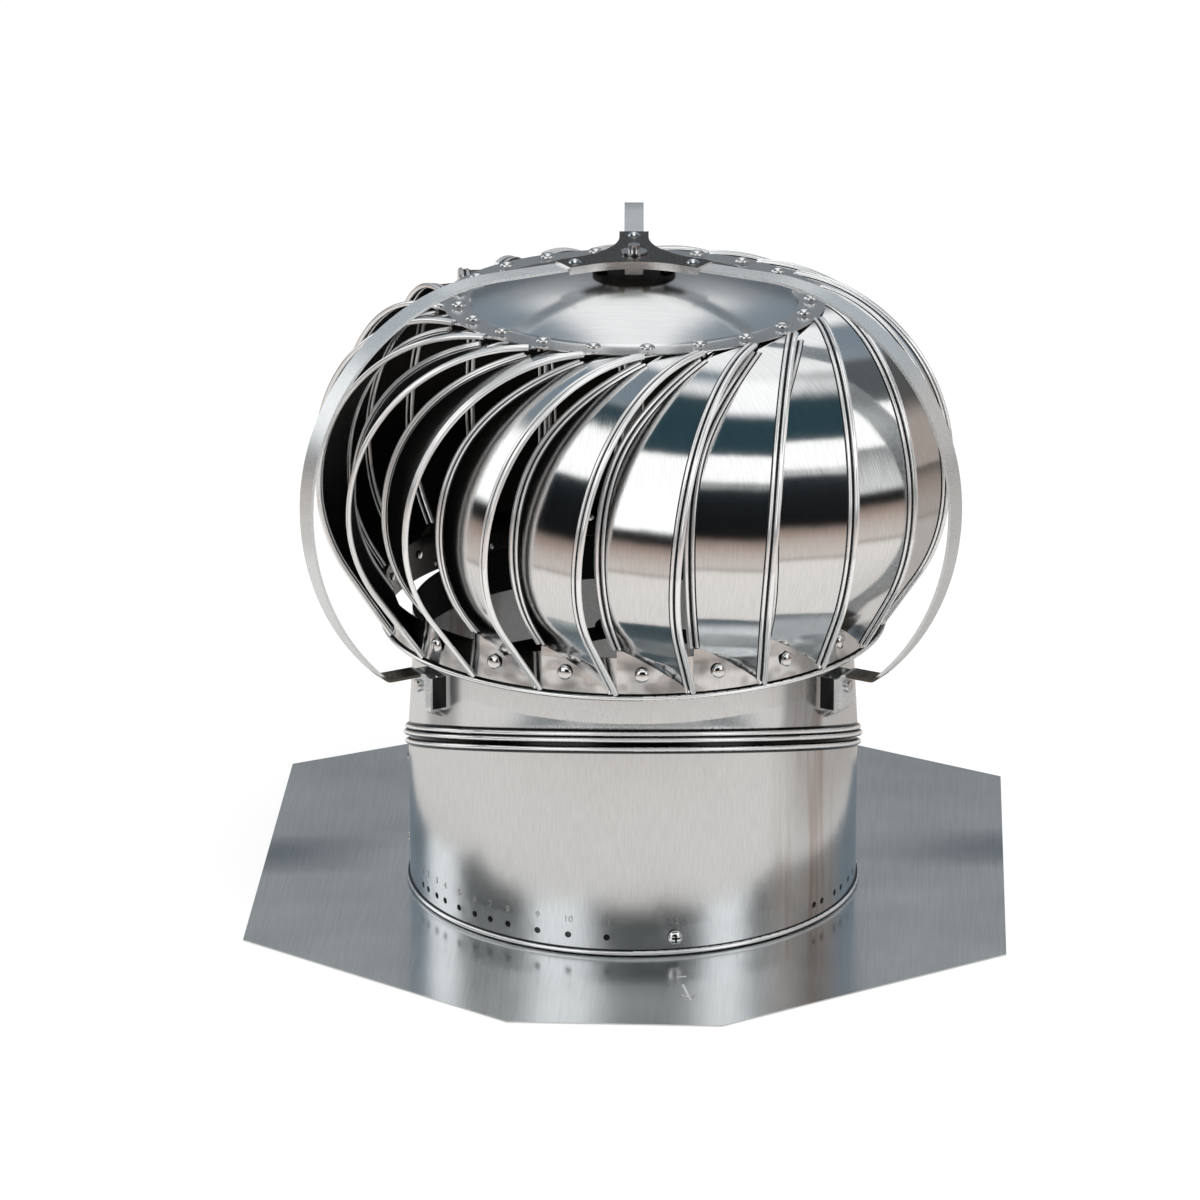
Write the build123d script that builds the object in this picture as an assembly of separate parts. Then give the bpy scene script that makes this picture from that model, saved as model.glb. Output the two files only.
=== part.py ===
from build123d import *
import math
import os

# Roof turbine ventilator for a 305 mm throat. Millimetres, +Z up.
# The origin is on the turbine's axis, on the underside of the flashing. The front is -Y.
# All but the flashing is drawn with its front at azimuth 0, and is then turned by turbine_turn.
# An azimuth is an angle about the axis in degrees: 0 at the front, growing towards +X.

turbine_turn = 2.57  # degrees that the collars and the head stand turned on the flashing

# Sheet metal and fits
sheet = 0.8
running_fit = 0.08  # radial, between a collar and what it turns on
bearing_fit = 0.05  # radial, between the shaft and its bearings
seat_gap = 0.3

# Flashing: an eight-sided sheet with a drawn rim at the throat
flashing_half_width = 254.0
flashing_front = 268.0
flashing_back = 309.0
flashing_corner_front = 132.0  # depth of the front corner cuts
flashing_corner_back = 107.0  # depth of the back corner cuts
flashing_end_half_width = 69.5
rim_height = 20.0

# Oblique collars
collar_radius = 152.6  # outside, at the flashing and at the seam
seam_height = 101.5  # seam centre above the flashing
seam_tilt = 17.8  # degrees, high at the front
seam_lip = 8.0  # height of the upper collar's lip
seam_step = 2.0  # height of the joggle under the lower collar's spigot
seam_bead_radius = 2.0
seam_bead_stand = 0.3  # how far a bead's centre line stands off the wall
seam_mouth_stand = 1.3  # the same for the bead at the upper collar's mouth
edge_bead_radius = 1.9  # rolled edges at the flashing and on the bottom ring
collar_skirt = rim_height + 2.0  # round foot of the lower collar
spigot_radius = collar_radius - sheet - running_fit
rim_radius = collar_radius - sheet - running_fit

# Setting holes round the foot of the lower collar
setting_hole_height = 13.7
setting_hole_radius = 2.2
setting_azimuths = [10.5, -6.5, -16.3, -24.5, -33.0, -38.5, -43.8, -49.7, -55.7, -59.8, -64.7, -68.2]
opposite_azimuths = [52.8, 56.3, 63.0, 67.0, 73.0, 78.7]
lap_rivet_heights = [27.0, 85.0]
lap_rivet_radius = 1.3

# Neck: the round top of the upper collar
neck_radius = collar_radius - 3.3  # outside
neck_height = 33.0
tilt = math.radians(seam_tilt)
seam_front = seam_height + collar_radius * math.sin(tilt) + seam_lip * math.cos(tilt)
neck_start = seam_front + 7.2
neck_top = neck_start + neck_height

# Head
blade_count = 21
head_height = 220.6  # from the ring's foot to the cap's flange
cap_radius = neck_radius - 21.8
cap_crease_radius = cap_radius - 19.5
cap_crown_rise = 17.4
cap_hole_radius = 10.3
hub_radius = 27.5
hub_sheet = 1.6
hub_boss_radius = 9.8
hub_boss_length = 12.0
hub_screw_offset = 22.0
ring_gap = 18.6  # between the neck and the outside of the ring
ring_height = 27.0
ring_radius = neck_radius + ring_gap  # outside of the ring's wall
ring_bottom = neck_top - 8.0
ring_top = ring_bottom + ring_height
cap_top = ring_bottom + head_height  # top of the cap's flange
crown_top = cap_top + cap_crown_rise
top_rivet_radius = cap_radius - 10.1
bottom_rivet_height = ring_bottom + 15.9
first_bottom_azimuth = 1.95
blade_pitch = 360.0 / blade_count
blade_lean = 36.6  # degrees that a blade leans round from its bottom rivet to its top rivet

# Blade: a sheet bent about one level direction, which is skewed to the ring by blade_skew.
# "depth" is measured level across that direction, outwards, and "along" is measured along it.
blade_skew = 24.0
blade_bulge = 31.6  # depth of the belly beyond the ring at the rivet
blade_fold_rise = 9.1  # height of the fold above the bottom rivet
blade_straight = 23.3  # straight part of the flank above the fold
blade_foot_length = 52.0  # straight part of the flank in all
tab_inner = 7.7  # top tab, from its rivet towards the axis
tab_outer = 9.4  # top tab, from its rivet to the shoulder's bend
foot_tab_ends = (-0.325, 0.59)  # ends of the foot tab from its rivet, in pitches
belly_bearings = (15.0, 29.9)  # ends of the belly's line, as angles off the depth direction
top_tab_ends = (-3.8, 9.9)  # ends of the top tab along its line, from its rivet
blank_stations = [(0.43, 0.153, 0.58), (0.86, 0.786, 0.92), (1.04, 1.0, 1.0)]
blank_view = 30.0  # rise of the direction that the blank's outline is drawn across

ring_depth = ring_radius * math.cos(math.radians(blade_skew))
belly_depth = ring_depth + blade_bulge
top_rivet_bearing = math.radians(blade_lean + blade_skew)
top_rivet_depth = top_rivet_radius * math.cos(top_rivet_bearing)
top_rivet_along = top_rivet_radius * math.sin(top_rivet_bearing)
shoulder_depth = top_rivet_depth + tab_outer
shoulder_radius = belly_depth - shoulder_depth
belly_height = cap_top - 1.5 * sheet - shoulder_radius
flank_rise = belly_height - bottom_rivet_height - blade_fold_rise
flank_turn = 2 * math.atan(blade_bulge / (flank_rise + blade_straight))
flank_radius = (flank_rise - blade_straight * math.cos(flank_turn)) / math.sin(flank_turn)
blade_bottom = ring_bottom + 2.8
belly_radius = belly_depth / math.cos(math.radians(belly_bearings[1]))

# Legs, their foot brackets and the top bracket
leg_azimuths = {"left": -60.0, "right": 60.0, "rear": 180.0}
leg_gaps = {"left": 32.5, "right": 28.5, "rear": 42.5}  # off the blades: each strap bows a little differently
strap_widths = {"left": 16.0, "right": 16.0, "rear": 13.0}
strap_width = max(strap_widths.values())
strap = 2.0
leg_inset = 53.84  # how far the strap curves in below its widest point
leg_bend = 6.0
leg_belly_height = belly_height + 8.7
leg_foot_height = neck_top - 20.5
leg_tab_end = neck_top - 44.0
foot_depth = 12.9  # stand-off of the foot bracket from the neck
foot_width = 24.0
foot_sheet = 1.2
foot_top = neck_top - 22.5
foot_bottom = foot_top - 23.5
foot_screw_height = foot_top - 7.5
prong_reach = 54.0
prong_width = 19.6
bracket_throat_radius = 60.0
bracket_top = crown_top + 15.0
bracket_sheet = 1.5
bracket_skirt = 5.5
bracket_tongue = 12.0
bracket_rivet_radius = 45.0

# Shaft and its bearings
shaft_radius = 4.75
pin_radius = 4.0
pin_end = 6.0  # height of the pin's end above the top bracket
spider_height = neck_top - 18.0
spider_sheet = 2.0
spider_arm_width = 20.0
spider_hub_radius = 26.0
spider_tab = 15.0
bearing_height = 14.0
bearing_radius = 14.0
bearing_flange_radius = 24.0
bearing_rivet_circle = 19.5
bush_radius = 7.0
bush_flange_radius = 11.0
bush_flange = 2.0
bush_length = 7.5
washer_radius = 8.75
washer_sheet = 1.2

# Fasteners
rivet_head_radius = 4.6
rivet_head_height = 2.2
rivet_shank_radius = 1.6
rivet_tail = 1.0
screw_head_radius = 4.5
screw_head_height = 2.6
screw_shank_radius = 2.0
nut_radius = 4.2
nut_height = 3.0


def tube(outer, inner, bottom, top):
    """Round tube about the axis, between two heights."""
    wall = Circle(outer) - Circle(inner)
    return extrude(Pos(0, 0, bottom) * wall, top - bottom)


def rod(radius, bottom, top):
    """Round rod about the axis, between two heights."""
    return extrude(Pos(0, 0, bottom) * Circle(radius), top - bottom)


def place(azimuth, radius=0.0, height=0.0):
    """Location whose local -Y points outwards at an azimuth."""
    return Rot(0, 0, azimuth) * Pos(0, -radius, height)


def outward(azimuth, radius, height):
    """Location on a wall, with local +Z pointing outwards."""
    return place(azimuth, radius, height) * Rot(90, 0, 0)


def drill(radius, depth):
    """Cutter for a hole, on both sides of the surface that it is placed on."""
    return Cylinder(radius, 2 * depth)


def rivet(grip):
    """Round-headed rivet: its head stands on z = 0 and its shank goes down past the grip."""
    dome_radius = (rivet_head_radius**2 + rivet_head_height**2) / (2 * rivet_head_height)
    dome = Pos(0, 0, rivet_head_height - dome_radius) * Sphere(dome_radius)
    head = dome & rod(rivet_head_radius + 1, 0, rivet_head_height + 1)
    return head + rod(rivet_shank_radius, -grip - rivet_tail, 0)


def screw(length):
    """Round-headed screw: its head stands on z = 0 and its shank goes down."""
    head = rod(screw_head_radius, 0, screw_head_height)
    head = fillet(head.edges().sort_by(Axis.Z)[-1], screw_head_height * 0.6)
    return head + rod(screw_shank_radius, -length, 0)


def bead(wall_radius, height, size, stand=0.0):
    """Rolled bead round a wall, kept outside the middle of the wall's sheet."""
    ring = Pos(0, 0, height) * Torus(wall_radius + stand, size)
    return ring - rod(wall_radius - sheet / 2, height - 2 * size, height + 2 * size)


def seam_plane(offset=0.0):
    """Plane of the oblique seam, moved along its own normal, with local X along +X."""
    normal = Vector(0, math.sin(tilt), math.cos(tilt))
    return Plane(Vector(0, 0, seam_height) + normal * offset, x_dir=(1, 0, 0), z_dir=normal)


def blade_azimuths():
    """Azimuths of the blades' bottom rivets."""
    return [first_bottom_azimuth + blade_pitch * index for index in range(blade_count)]


# Base


def flashing():
    """Eight-sided sheet with the drawn rim that the lower collar turns on."""
    wide = flashing_half_width
    narrow = flashing_end_half_width
    front_side = -flashing_front + flashing_corner_front
    back_side = flashing_back - flashing_corner_back
    right_half = [(narrow, -flashing_front), (wide, front_side), (wide, back_side), (narrow, flashing_back)]
    left_half = [(-x, y) for x, y in reversed(right_half)]
    plate = extrude(make_face(Polyline(*right_half, *left_half, close=True)), sheet)
    plate -= rod(rim_radius - sheet, -1, sheet + 1)
    return plate + tube(rim_radius, rim_radius - sheet, 0, rim_height)


def lower_collar_body(radius):
    """Filled shape of the lower collar at a wall radius, from its skirt to just under the seam."""
    skirt = rod(radius, sheet + seat_gap, collar_skirt)
    top = seam_plane(-2 * seam_bead_radius - seam_step)
    gore = loft([Pos(0, 0, collar_skirt) * Circle(radius), top * Circle(radius)], ruled=True)
    return skirt + gore


def lower_collar():
    """Oblique collar: a skirt with its bead and setting holes, a gore, and the seam's bead and spigot."""
    body = lower_collar_body(collar_radius) - lower_collar_body(collar_radius - sheet)
    seam_bead = -2 * seam_bead_radius
    seam = tube(collar_radius, spigot_radius - sheet, seam_bead - seam_step, seam_bead)
    seam += tube(spigot_radius, spigot_radius - sheet, seam_bead, seam_lip - 1)
    seam += bead(collar_radius, seam_bead, seam_bead_radius, seam_bead_stand)
    body += seam_plane().location * seam
    body += bead(collar_radius, sheet + seat_gap + edge_bead_radius, edge_bead_radius)
    for azimuth in setting_azimuths + opposite_azimuths:
        body -= outward(azimuth, collar_radius, setting_hole_height) * drill(setting_hole_radius, 3)
    for height in lap_rivet_heights:
        body -= outward(-90, collar_radius, height) * drill(lap_rivet_radius, 3)
    return body


def upper_collar_body(radius, neck):
    """Filled shape of the upper collar above its lip, at a seam radius and a neck radius."""
    gore = loft([seam_plane(seam_lip) * Circle(radius), Pos(0, 0, neck_start) * Circle(neck)], ruled=True)
    return gore + rod(neck, neck_start, neck_top)


def upper_collar():
    """Oblique collar with a beaded lip over the seam's spigot, and the round neck above it."""
    body = upper_collar_body(collar_radius, neck_radius)
    body -= upper_collar_body(collar_radius - sheet, neck_radius - sheet)
    for azimuth in leg_azimuths.values():
        body -= outward(azimuth, neck_radius, foot_screw_height) * drill(rivet_shank_radius, 3)
    lip = tube(collar_radius, collar_radius - sheet, 0, seam_lip)
    lip += bead(collar_radius, seam_bead_radius, seam_bead_radius, seam_mouth_stand)
    lip += bead(collar_radius, seam_lip - seam_bead_radius, seam_bead_radius, seam_bead_stand)
    return body + seam_plane().location * lip


def collar_lock_screw():
    """Screw in setting hole 12. Its tip stops at the collar's inner face, just off the flashing's rim."""
    rest = seat_gap / 2  # the flat head stands this far off the round wall
    body = rod(screw_head_radius, rest, screw_head_height) + rod(setting_hole_radius, -sheet, rest)
    return outward(setting_azimuths[0], collar_radius, setting_hole_height) * body


def collar_seam_rivets():
    """Two flat rivets down the lower collar's lap seam, on the left."""
    rivets = []
    for height in lap_rivet_heights:
        body = rod(2 * lap_rivet_radius, 0.1, 1.2) + rod(lap_rivet_radius, -1.5 * sheet, 0.1)
        rivets.append(outward(-90, collar_radius, height) * body)
    return rivets


# Frame


def foot_bracket(azimuth):
    """Stand-off box on the neck: open above and below, with a sloping lip under its front wall."""
    front = neck_radius + foot_depth
    height = foot_top - foot_bottom
    centre = Pos(0, -front + foot_depth / 2, foot_bottom + height / 2)
    walls = centre * Box(foot_width, foot_depth, height)
    walls -= centre * Box(foot_width - 2 * foot_sheet, foot_depth - 2 * foot_sheet, height + 1)
    start = (-front, foot_bottom)
    end = (-neck_radius - foot_sheet, foot_bottom - foot_depth / 2)
    lip_face = make_face(Polyline(start, (start[0] + foot_sheet, start[1]), (end[0], end[1] + foot_sheet),
                                  end, (start[0], start[1] - foot_sheet), close=True))
    walls += extrude(Plane.YZ * lip_face, strap_width / 2, both=True)
    walls -= outward(0, neck_radius, foot_screw_height) * drill(screw_shank_radius, 2 * foot_depth)
    back = Pos(0, -neck_radius, foot_bottom + height / 2) * Box(foot_width, 4 * foot_sheet, height)
    walls += back & rod(neck_radius + foot_sheet, 0, foot_top)
    walls -= outward(0, neck_radius, foot_screw_height) * drill(rivet_shank_radius, 3)
    return Rot(0, 0, azimuth) * walls - upper_collar_body(collar_radius, neck_radius)


def leg_path(gap):
    """Centre line of a leg, as (radius, height): under the prong, over the head, down to its foot tab."""
    level = bracket_top - bracket_sheet - strap / 2
    shoulder = level - leg_belly_height
    reach = belly_radius + gap
    turn = 2 * math.atan(leg_inset / (leg_belly_height - leg_foot_height))
    flank_size = (leg_belly_height - leg_bend - leg_foot_height) / math.sin(turn) + leg_bend
    tab_radius = neck_radius + foot_depth + strap / 2
    top = Line((bracket_rivet_radius - strap_width / 2, level), (reach - shoulder, level))
    over = JernArc(top @ 1, top % 1, shoulder, -90)
    flank = JernArc(over @ 1, over % 1, flank_size, -math.degrees(turn))
    bend = JernArc(flank @ 1, flank % 1, leg_bend, math.degrees(turn) - 90)
    ledge = Line(bend @ 1, (tab_radius + 1.5 * strap, leg_foot_height))
    corner = JernArc(ledge @ 1, ledge % 1, 1.5 * strap, 90)
    tab = Line(corner @ 1, (tab_radius, leg_tab_end))
    return Wire([top, over, flank, bend, ledge, corner, tab])


def leg(name):
    """Strap leg, bent flat-wise, with a rivet hole at the prong and a screw hole at the foot."""
    side = trace(leg_path(leg_gaps[name]), strap)
    upright = Plane(origin=(0, 0, 0), x_dir=(0, -1, 0), z_dir=(-1, 0, 0))
    body = extrude(upright * side, strap_widths[name] / 2, both=True)
    body -= place(0, bracket_rivet_radius, bracket_top) * drill(rivet_shank_radius, 10)
    body -= outward(0, neck_radius + foot_depth, foot_screw_height) * drill(screw_shank_radius, 6)
    return Rot(0, 0, leg_azimuths[name]) * body


def leg_screws():
    """One screw through each leg's foot tab and its bracket."""
    face = neck_radius + foot_depth + strap
    length = strap + foot_sheet + nut_height + 1
    return [outward(azimuth, face, foot_screw_height) * screw(length) for azimuth in leg_azimuths.values()]


def leg_nuts():
    """One hexagon nut on each leg screw, inside the bracket."""
    face = neck_radius + foot_depth - foot_sheet
    shape = extrude(RegularPolygon(nut_radius, 6) - Circle(screw_shank_radius), -nut_height)
    return [outward(azimuth, face, foot_screw_height) * shape for azimuth in leg_azimuths.values()]


def foot_rivets():
    """One rivet in each foot bracket, through the neck and the spider's tab."""
    face = neck_radius + foot_sheet
    shape = rivet(foot_sheet + sheet + spider_sheet)
    return [outward(azimuth, face, foot_screw_height) * shape for azimuth in leg_azimuths.values()]


def bracket_outline():
    """Three straight prongs that meet in wide round throats."""
    prong = Pos(0, -prong_reach / 2) * Rectangle(prong_width, prong_reach)
    outline = Sketch()
    for azimuth in leg_azimuths.values():
        outline += Rot(0, 0, azimuth) * prong
    centre_corner = prong_width / 2 / math.sin(math.radians(60))
    throats = [v for v in outline.vertices() if Vector(*v).length < centre_corner + 0.1]
    return fillet(throats, bracket_throat_radius)


def top_bracket():
    """Pressed three-pronged plate with a turned-down skirt, open at the prong tips."""
    skirt_bottom = bracket_top - bracket_skirt
    hollow = bracket_skirt - bracket_sheet
    outline = bracket_outline()
    body = extrude(Pos(0, 0, skirt_bottom) * outline, bracket_skirt)
    body -= extrude(Pos(0, 0, skirt_bottom) * offset(outline, -bracket_sheet), hollow)
    mouth = Box(strap_width + 2 * seat_gap, 4 * bracket_sheet, hollow)
    waist = (prong_width / 2 + bracket_throat_radius) / math.sin(math.radians(60)) - bracket_throat_radius
    tongue = Box(bracket_tongue, bracket_sheet, bracket_skirt)
    for azimuth in leg_azimuths.values():
        body -= place(azimuth, prong_reach, skirt_bottom + hollow / 2) * mouth
        body -= place(azimuth, bracket_rivet_radius, bracket_top) * drill(rivet_shank_radius, 5)
        body += place(azimuth + 60, waist - bracket_sheet / 2, skirt_bottom - 1) * tongue
    return body - rod(bush_radius, 0, bracket_top + 1)


def bracket_rivets():
    """One rivet through each prong of the top bracket and the leg under it."""
    shape = rivet(bracket_sheet + strap)
    return [place(azimuth, bracket_rivet_radius, bracket_top) * shape for azimuth in leg_azimuths.values()]


def bearing_spider():
    """Three arms across the neck, with a hub plate and turned-down end tabs."""
    wall = neck_radius - sheet
    top = spider_height + spider_sheet
    spider = rod(spider_hub_radius, spider_height, top)
    tab_ring = tube(wall, wall - spider_sheet, spider_height - spider_tab, top)
    arm = Pos(0, -wall / 2, spider_height + spider_sheet / 2) * Box(spider_arm_width, wall, spider_sheet)
    slot = Pos(0, -wall, spider_height) * Box(spider_arm_width, wall, 4 * spider_tab)
    one_arm = (arm & rod(wall, 0, top)) + (tab_ring & slot)
    for azimuth in leg_azimuths.values():
        spider += Rot(0, 0, azimuth) * one_arm
        spider -= outward(azimuth, wall, foot_screw_height) * drill(rivet_shank_radius, 5)
        spider -= place(azimuth, bearing_rivet_circle, top) * drill(rivet_shank_radius, 5)
    return spider


def lower_bearing():
    """Flanged cup on the spider that carries the shaft's foot."""
    seat = spider_height + spider_sheet
    cup = rod(bearing_flange_radius, seat, seat + spider_sheet)
    cup += rod(bearing_radius, seat, seat + bearing_height)
    cup -= rod(shaft_radius + bearing_fit, seat + spider_sheet, seat + bearing_height + 1)
    for azimuth in leg_azimuths.values():
        cup -= place(azimuth, bearing_rivet_circle, seat) * drill(rivet_shank_radius, 5)
    return cup


def bearing_rivets():
    """Three rivets through the flange of the lower bearing and the spider."""
    face = spider_height + 2 * spider_sheet
    shape = rivet(2 * spider_sheet)
    return [place(azimuth, bearing_rivet_circle, face) * shape for azimuth in leg_azimuths.values()]


def upper_bearing():
    """Flanged bush in the top bracket."""
    plate = bracket_top - bracket_sheet
    bush = rod(bush_radius, bracket_top - bush_length, bracket_top)
    bush += rod(bush_flange_radius, plate - bush_flange, plate)
    return bush - rod(pin_radius + bearing_fit, 0, bracket_top + 1)


# Head


def shaft():
    """Shaft with its foot in the lower bearing, and a thinner pin through the top bush and the washer."""
    foot = spider_height + 2 * spider_sheet + bearing_fit
    shoulder = bracket_top - bush_length - 1.5
    return rod(shaft_radius, foot, shoulder) + rod(pin_radius, shoulder, bracket_top + pin_end)


def shaft_washer():
    """Washer fixed on the pin, just above the top bracket."""
    return tube(washer_radius, pin_radius, bracket_top + seat_gap, bracket_top + seat_gap + washer_sheet)


def cap_line(drop):
    """Half section line of the cap at a drop below its outer face: flange, crease, dome and flat crown."""
    flange = Line((cap_radius, cap_top - drop), (cap_crease_radius + 1.5, cap_top - drop))
    crease = Line(flange @ 1, (cap_crease_radius, cap_top + 1 - drop))
    crown_edge = (hub_radius + 2, crown_top - drop)
    middle_radius = (crown_edge[0] + cap_crease_radius) / 2
    middle_height = cap_top + 1 + (cap_crown_rise - 1) * 0.72 - drop
    dome = ThreePointArc(crease @ 1, (middle_radius, middle_height), crown_edge)
    return [flange, crease, dome, Line(crown_edge, (cap_hole_radius, crown_top - drop))]


def top_cap():
    """Pressed cap: the flat flange that the blades are riveted under, a crease, and a shallow dome."""
    outer = cap_line(0)
    inner = cap_line(sheet)
    ends = [Line(outer[0] @ 0, inner[0] @ 0), Line(outer[-1] @ 1, inner[-1] @ 1)]
    cap = revolve(Plane.XZ * make_face(outer + inner + ends), Axis.Z)
    for side in (-1, 1):
        cap -= Pos(side * hub_screw_offset, 0, crown_top) * drill(screw_shank_radius, 5)
    for azimuth in blade_azimuths():
        cap -= place(azimuth + blade_lean, top_rivet_radius, cap_top) * drill(rivet_shank_radius, 5)
    return cap


def hub_plate():
    """Plate on top of the cap with a boss that grips the shaft."""
    plate = rod(hub_radius, crown_top, crown_top + hub_sheet)
    plate += rod(hub_boss_radius, crown_top - hub_boss_length, crown_top)
    plate -= rod(shaft_radius, 0, crown_top + hub_sheet + 1)
    for side in (-1, 1):
        plate -= Pos(side * hub_screw_offset, 0, crown_top) * drill(screw_shank_radius, 5)
    return plate


def hub_screws():
    """Two screws through the hub plate and the cap."""
    shape = screw(hub_sheet + sheet + 4)
    return [Pos(side * hub_screw_offset, 0, crown_top + hub_sheet) * shape for side in (-1, 1)]


def bottom_ring():
    """Band that the blades' foot tabs are riveted to, with a rolled lip at its foot."""
    ring = tube(ring_radius, ring_radius - sheet, ring_bottom, ring_top)
    lip = Pos(0, 0, ring_bottom) * Torus(ring_radius + edge_bead_radius - sheet, edge_bead_radius)
    ring = ring + lip - rod(ring_radius - sheet, 0, ring_top)
    for azimuth in blade_azimuths():
        ring -= outward(azimuth, ring_radius, bottom_rivet_height) * drill(rivet_shank_radius, 5)
    return ring


def blade_path():
    """Centre line of the bent sheet, as (depth, height): top tab, shoulder, flank and straight foot."""
    tab_height = cap_top - 1.5 * sheet
    tab = Line((top_rivet_depth - tab_inner, tab_height), (shoulder_depth, tab_height))
    shoulder = JernArc(tab @ 1, tab % 1, shoulder_radius, -90)
    flank = JernArc(shoulder @ 1, shoulder % 1, flank_radius, -math.degrees(flank_turn))
    foot = Line(flank @ 1, flank @ 1 + (flank % 1) * blade_foot_length)
    return [tab, shoulder, flank, foot]


def blank_rise(depth, height):
    """Height of a point of the bent sheet in the view that the blank's outline is drawn in."""
    view = math.radians(blank_view)
    return height * math.cos(view) - depth * math.sin(view)


def blade_blank():
    """Outline of the blank, as (along, rise): widest at the belly and narrow at the top tab."""
    top_rise = blank_rise(top_rivet_depth - tab_inner, cap_top)
    belly_rise = blank_rise(belly_depth, belly_height)
    foot_rise = blank_rise(ring_depth, ring_bottom) - 8
    edges = []
    for side in (0, 1):
        foot_bearing = math.radians(blade_skew + foot_tab_ends[side] * blade_pitch)
        foot_along = ring_radius * math.sin(foot_bearing)
        belly_along = belly_depth * math.tan(math.radians(belly_bearings[side]))
        top_along = top_rivet_along + top_tab_ends[side]
        points = [(foot_along, foot_rise), (belly_along, belly_rise)]
        for station in blank_stations:
            share = station[side + 1]
            rise = belly_rise + (top_rise - belly_rise) * station[0]
            points.append((belly_along + (top_along - belly_along) * share, rise))
        edges.append(Spline(*points))
    left, right = edges
    return make_face([left, right, Line(left @ 0, right @ 0), Line(left @ 1, right @ 1)])


def foot_tab(bending_plane):
    """Foot tab on the ring's outer face, up to the line where the bent sheet meets the ring."""
    _, _, flank, foot = blade_path()
    low = (0, (foot @ 1).Y)
    high = (0, (flank @ 0).Y)
    inside = make_face([flank, foot, Line(foot @ 1, low), Line(low, high), Line(high, flank @ 0)])
    band = tube(ring_radius + sheet, ring_radius, blade_bottom, belly_height)
    room = 2 * ring_radius
    for side, pitches in zip((-1, 1), foot_tab_ends):
        beyond = Pos(side * room, 0, ring_top) * Box(2 * room, 2 * room, room)
        band -= Rot(0, 0, pitches * blade_pitch) * beyond
    return (band & rod(room, 0, ring_top + 5)) - extrude(bending_plane * inside, room, both=True)


def blade():
    """One blade at azimuth 0: a bent sheet trimmed to its blank, folded onto the ring at its foot."""
    skew = math.radians(blade_skew)
    along = Vector(math.cos(skew), -math.sin(skew), 0)
    depth = Vector(-math.sin(skew), -math.cos(skew), 0)
    bending_plane = Plane(origin=(0, 0, 0), x_dir=depth, z_dir=-along)
    body = extrude(bending_plane * trace(blade_path(), sheet), -2 * ring_radius)
    view = math.radians(blank_view)
    sight = depth * math.cos(view) + Vector(0, 0, math.sin(view))
    blank = extrude(Plane(origin=(0, 0, 0), x_dir=along, z_dir=sight) * blade_blank(), 4 * ring_radius)
    body &= blank
    body -= rod(ring_radius, 0, ring_top + 15)
    body -= rod(4 * ring_radius, 0, blade_bottom)
    body += foot_tab(bending_plane)
    body -= outward(0, ring_radius, bottom_rivet_height) * drill(rivet_shank_radius, 5)
    return body - place(blade_lean, top_rivet_radius, cap_top) * drill(rivet_shank_radius, 5)


def top_rivets():
    """Rivets through the cap's flange and the blades' top tabs."""
    shape = rivet(2 * sheet)
    return [place(azimuth + blade_lean, top_rivet_radius, cap_top) * shape for azimuth in blade_azimuths()]


def bottom_rivets():
    """Rivets through the blades' foot tabs and the bottom ring."""
    shape = rivet(2 * sheet)
    face = ring_radius + sheet
    return [outward(azimuth, face, bottom_rivet_height) * shape for azimuth in blade_azimuths()]


def write(name, shape, turn=turbine_turn):
    """One STEP file per sub-part. A list of solids goes into one file."""
    turned = Rot(0, 0, turn)
    if isinstance(shape, list):
        whole = Compound(children=[turned * solid for solid in shape])
    else:
        whole = turned * shape
    whole.label = name
    export_step(whole, f"parts/{name}.step")


os.makedirs("parts", exist_ok=True)

write("flashing", flashing(), turn=0.0)
write("lower_collar", lower_collar())
write("collar_lock_screw", collar_lock_screw())
write("collar_seam_rivets", collar_seam_rivets())

write("upper_collar", upper_collar())
for name, azimuth in leg_azimuths.items():
    write(f"foot_bracket_{name}", foot_bracket(azimuth))
    write(f"leg_{name}", leg(name))
write("foot_rivets", foot_rivets())
write("leg_screws", leg_screws())
write("leg_nuts", leg_nuts())
write("top_bracket", top_bracket())
write("bracket_rivets", bracket_rivets())
write("upper_bearing", upper_bearing())
write("bearing_spider", bearing_spider())
write("lower_bearing", lower_bearing())
write("bearing_rivets", bearing_rivets())

write("shaft", shaft())
write("shaft_washer", shaft_washer())
write("hub_plate", hub_plate())
write("hub_screws", hub_screws())
write("top_cap", top_cap())
write("bottom_ring", bottom_ring())
write("top_rivets", top_rivets())
write("bottom_rivets", bottom_rivets())
one_blade = blade()
for number, azimuth in enumerate(blade_azimuths(), start=1):
    write(f"blade_{number:02d}", Rot(0, 0, azimuth) * one_blade)
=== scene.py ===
import math

import bpy
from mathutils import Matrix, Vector


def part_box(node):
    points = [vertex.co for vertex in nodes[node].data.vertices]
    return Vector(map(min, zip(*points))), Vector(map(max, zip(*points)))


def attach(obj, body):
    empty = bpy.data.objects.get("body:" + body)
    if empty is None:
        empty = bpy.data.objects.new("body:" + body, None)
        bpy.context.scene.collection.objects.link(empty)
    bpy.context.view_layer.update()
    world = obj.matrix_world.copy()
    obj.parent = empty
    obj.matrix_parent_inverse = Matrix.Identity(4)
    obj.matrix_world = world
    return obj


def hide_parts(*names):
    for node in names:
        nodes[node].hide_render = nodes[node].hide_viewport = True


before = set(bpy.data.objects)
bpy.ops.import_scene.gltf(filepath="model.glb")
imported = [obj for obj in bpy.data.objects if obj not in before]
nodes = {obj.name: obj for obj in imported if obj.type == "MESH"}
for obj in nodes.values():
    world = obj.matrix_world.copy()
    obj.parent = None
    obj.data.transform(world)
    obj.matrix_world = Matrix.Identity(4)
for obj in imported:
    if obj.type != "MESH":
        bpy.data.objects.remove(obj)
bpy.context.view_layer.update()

MM = 0.001
DEGREES = 180 / math.pi

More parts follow.
